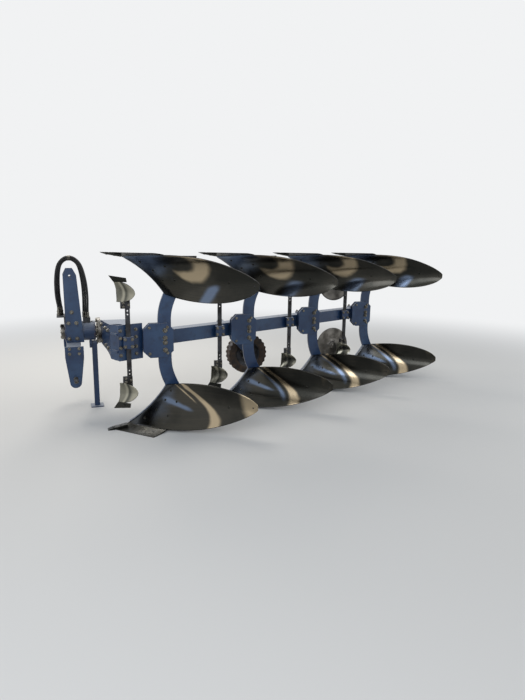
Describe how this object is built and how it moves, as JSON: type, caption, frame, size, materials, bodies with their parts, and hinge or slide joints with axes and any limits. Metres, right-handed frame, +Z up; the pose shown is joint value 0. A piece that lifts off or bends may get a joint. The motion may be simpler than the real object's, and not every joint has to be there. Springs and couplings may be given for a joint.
{
  "type": "mounted reversible moldboard plough",
  "caption": "Mounted reversible moldboard plough: upper and lower curved bodies in a slanting row on one beam, turnover headstock, skimmers, disc coulters, depth wheel and parking stand.",
  "frame": {"origin": "middle of the parked plough's box, on the ground", "axes": "+X forwards along the travel, +Y to the left, +Z up"},
  "size_m": [4.6574, 2.2436, 1.645],
  "materials": {
    "blue_paint": "weathered gloss",
    "polished_steel": "soil polished",
    "disc_steel": "soil worn",
    "worn_steel": "dirty, worn",
    "bare_steel": "greased",
    "dark_paint": "satin",
    "hose_rubber": "matt",
    "tyre_rubber": "dusty"
  },
  "bodies": {
    "headstock_body": {"headstock": "blue_paint", "hitch_frame": "blue_paint", "bearing_housing": "blue_paint", "hitch_pins": "bare_steel", "hose_rack": "dark_paint", "hoses": "hose_rubber", "turnover_cylinder": "dark_paint", "stand_bracket": "blue_paint"},
    "plough_frame": {"roll_shaft": "bare_steel", "front_console": "blue_paint", "console_brace": "blue_paint", "main_beam": "blue_paint", "bracket_1": "blue_paint", "bracket_2": "blue_paint", "bracket_3": "blue_paint", "bracket_4": "blue_paint", "leg_low_1": "blue_paint", "leg_low_2": "blue_paint", "leg_low_3": "blue_paint", "leg_low_4": "blue_paint", "leg_up_1": "blue_paint", "leg_up_2": "blue_paint", "leg_up_3": "blue_paint", "leg_up_4": "blue_paint", "share_low_1": "polished_steel", "share_low_2": "polished_steel", "share_low_3": "polished_steel", "share_low_4": "polished_steel", "share_up_1": "polished_steel", "share_up_2": "polished_steel", "share_up_3": "polished_steel", "share_up_4": "polished_steel", "moldboard_low_1": "polished_steel", "moldboard_low_2": "polished_steel", "moldboard_low_3": "polished_steel", "moldboard_low_4": "polished_steel", "moldboard_up_1": "polished_steel", "moldboard_up_2": "polished_steel", "moldboard_up_3": "polished_steel", "moldboard_up_4": "polished_steel", "skimmer_1": "worn_steel", "skimmer_2": "worn_steel", "skimmer_3": "worn_steel", "skimmer_4": "worn_steel", "wheel_bracket": "blue_paint", "coulter_arms": "blue_paint"},
    "stand_body": {"stand_leg": "blue_paint"},
    "wheel_swing_arm": {"wheel_arm": "blue_paint"},
    "depth_wheel": {"wheel_rim": "blue_paint", "wheel_tyre": "tyre_rubber"},
    "coulter_low": {"coulter_disc_low": "disc_steel"},
    "coulter_up": {"coulter_disc_up": "disc_steel"}
  },
  "joints": [
    {"name": "turnover", "type": "hinge", "parent": "headstock_body", "child": "plough_frame", "pos_m": [1.93485, -0.34155, 0.8225], "axis": [1, 0, 0], "range_deg": [-180, 0]},
    {"name": "stand_swing", "type": "hinge", "parent": "headstock_body", "child": "stand_body", "pos_m": [1.96885, -0.34155, 0.6905], "axis": [-1, 0, 0], "range_deg": [0, 88]},
    {"name": "wheel_swing", "type": "hinge", "parent": "plough_frame", "child": "wheel_swing_arm", "pos_m": [0.53485, -0.61155, 0.8225], "axis": [0, 1, 0], "range_deg": [0, 96]},
    {"name": "wheel_spin", "type": "hinge", "parent": "wheel_swing_arm", "child": "depth_wheel", "pos_m": [0.17017, -0.61155, 0.41749], "axis": [0, 1, 0], "continuous": true},
    {"name": "coulter_low_spin", "type": "hinge", "parent": "plough_frame", "child": "coulter_low", "pos_m": [-1.16515, -0.84655, 0.4], "axis": [0, 1, 0], "continuous": true},
    {"name": "coulter_up_spin", "type": "hinge", "parent": "plough_frame", "child": "coulter_up", "pos_m": [-1.16515, -0.84655, 1.245], "axis": [0, 1, 0], "continuous": true}
  ]
}
